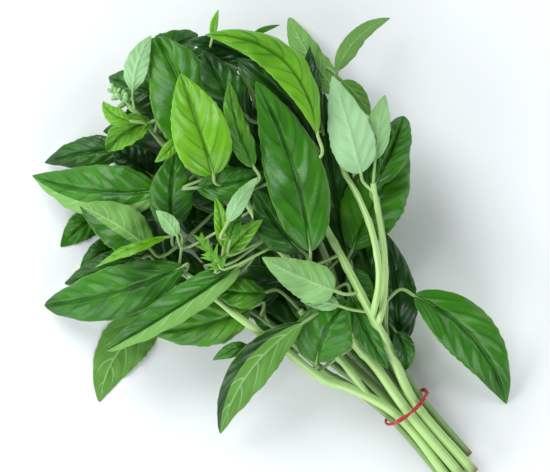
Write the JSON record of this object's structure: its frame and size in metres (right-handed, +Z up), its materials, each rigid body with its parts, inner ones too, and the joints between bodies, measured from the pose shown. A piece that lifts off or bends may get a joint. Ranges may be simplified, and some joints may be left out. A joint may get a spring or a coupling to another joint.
{
  "type": "basil bunch",
  "caption": "Bunch of cut basil lying on its side: leafy stems fanned out from a thin rubber band, with pointed glossy leaves and bare cut stem ends.",
  "frame": {"origin": "on the surface that the bunch lies on, under the middle of its box", "axes": "+X along the bundle toward the cut stem ends, +Z up from the surface"},
  "size_m": [0.306, 0.2676, 0.0762],
  "materials": {
    "leaf_deep": "glossy dark leaf",
    "leaf_mid": "glossy green leaf",
    "leaf_fresh": "bright green leaf and pale stem",
    "band_rubber": "matte red rubber"
  },
  "bodies": {
    "root": {"leafy_stem_low_left": "leaf_deep", "leafy_stem_low_middle": "leaf_deep", "leafy_stem_low_right": "leaf_deep", "leafy_stem_left": "leaf_mid", "leafy_stem_centre_left": "leaf_mid", "leafy_stem_centre_right": "leaf_mid", "leafy_stem_right": "leaf_mid", "leafy_stem_top_left": "leaf_fresh", "leafy_stem_top_middle": "leaf_fresh", "leafy_stem_top_right": "leaf_fresh", "rubber_band": "band_rubber"}
  },
  "joints": []
}
